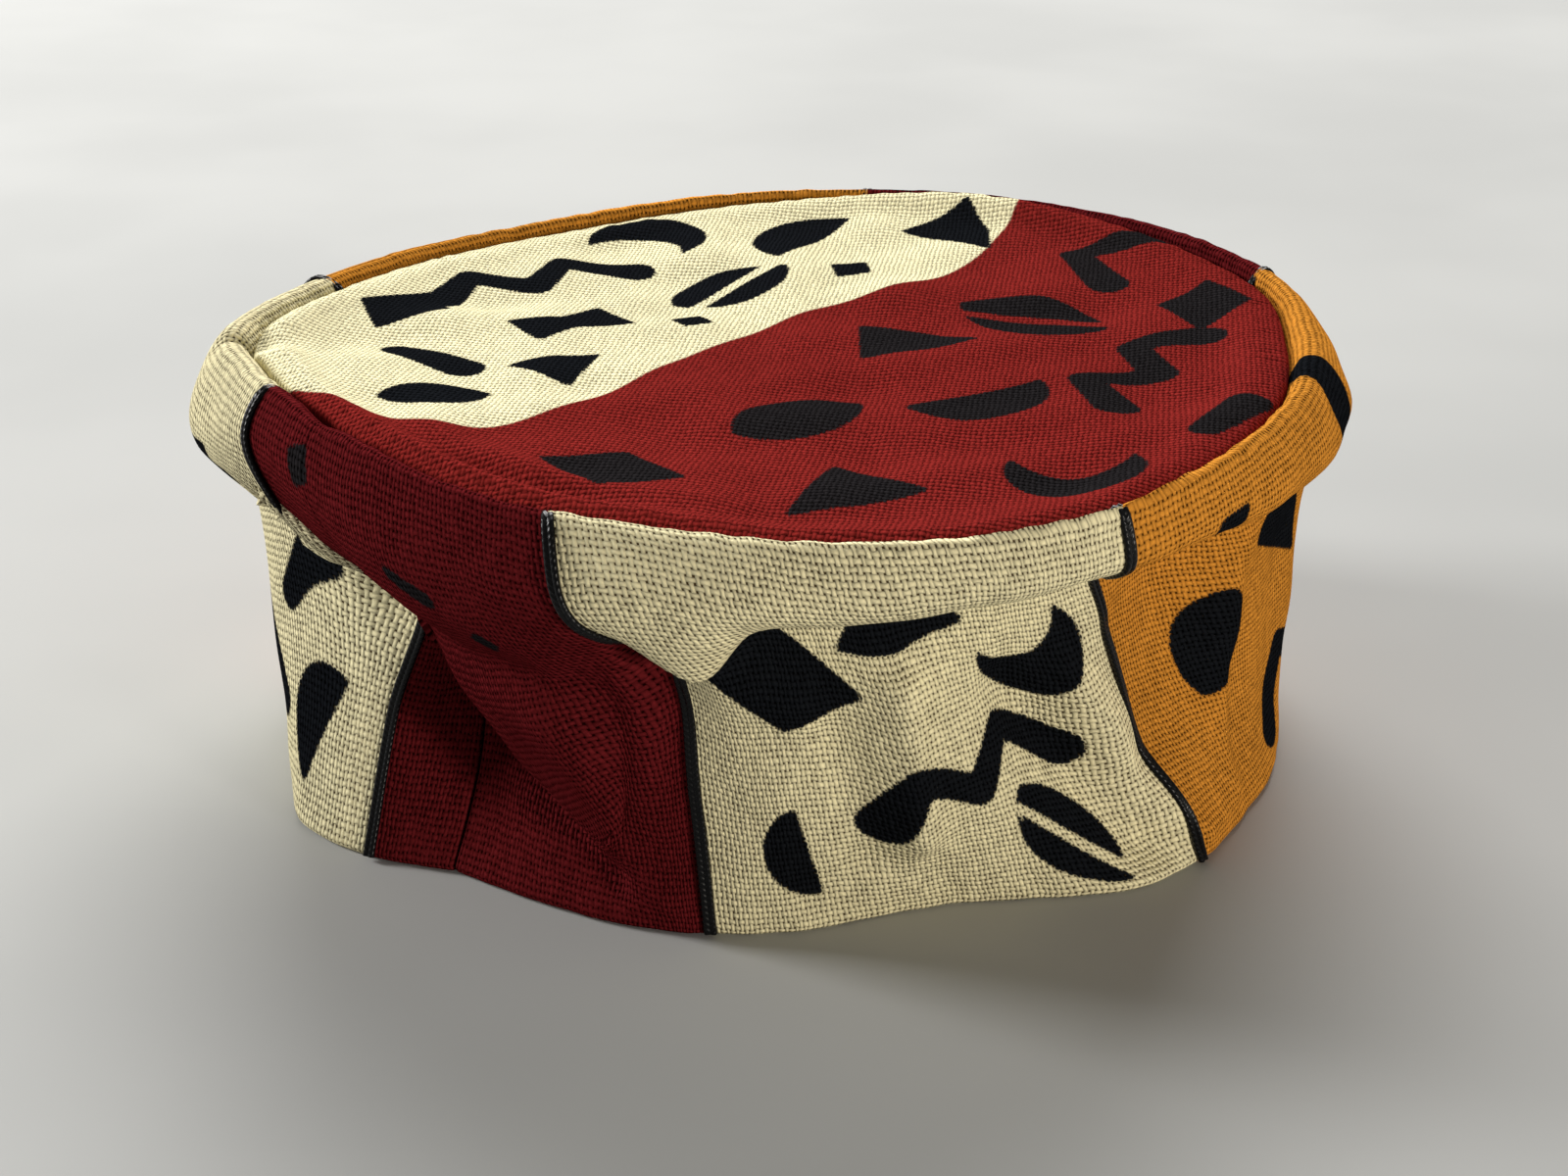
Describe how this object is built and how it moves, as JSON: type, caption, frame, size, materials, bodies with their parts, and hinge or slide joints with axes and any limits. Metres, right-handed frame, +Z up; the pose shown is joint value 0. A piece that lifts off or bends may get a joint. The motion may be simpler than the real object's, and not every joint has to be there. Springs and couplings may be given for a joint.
{
  "type": "kufi cap",
  "caption": "Soft brimless kufi cap: a round cloth crown sewn to one slouching side band, with soutache braid over the colour changes.",
  "frame": {"origin": "middle of the cap's footprint, on the floor that its hem rests on", "axes": "+Z up through the crown, -Y towards the cap's front, +X to its right as seen from the front"},
  "size_m": [0.212, 0.1976, 0.0802],
  "materials": {
    "crown_cloth": "coarse plain-weave cotton, part cream and part brick red, with matt black print",
    "band_cloth": "coarse plain-weave cotton in cream, brick red and ochre, with matt black print",
    "braid": "black soutache braid with a satin gloss"
  },
  "bodies": {
    "root": {"crown_top": "crown_cloth", "side_band": "band_cloth", "braid_left": "braid", "braid_front_left": "braid", "braid_front_right": "braid", "braid_right": "braid", "braid_back": "braid", "braid_back_left": "braid"}
  },
  "joints": []
}
